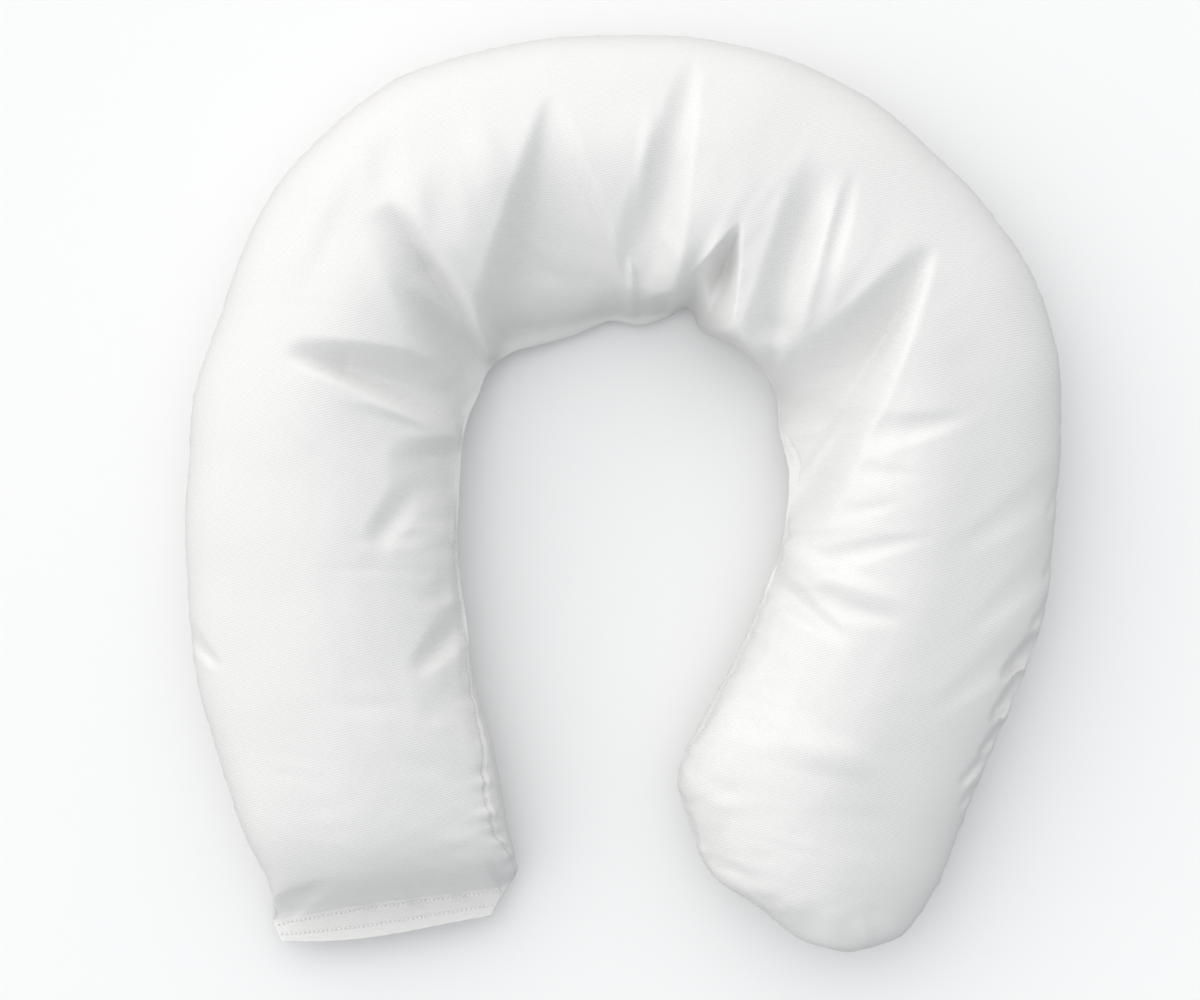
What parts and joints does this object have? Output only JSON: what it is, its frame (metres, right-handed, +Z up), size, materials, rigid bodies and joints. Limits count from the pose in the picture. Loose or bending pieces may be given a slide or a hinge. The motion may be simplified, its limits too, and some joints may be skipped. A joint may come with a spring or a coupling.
{
  "type": "positioning roll pillow",
  "caption": "Soft filled cotton roll laid in a horseshoe, gathered on the inner side of its bend, with a flat sewn hem at one end and a blunt rounded end, for supporting the body.",
  "frame": {"origin": "under the middle of the roll's outline, on the surface that it lies on", "axes": "+Z up from that surface, +Y from the two ends towards the bend, +X from the hemmed leg towards the rounded leg"},
  "size_m": [0.6122, 0.6412, 0.1081],
  "materials": {
    "white_cotton": "tight white twill with a soft satin sheen"
  },
  "bodies": {
    "root": {"roll_pillow": "white_cotton"}
  },
  "joints": []
}
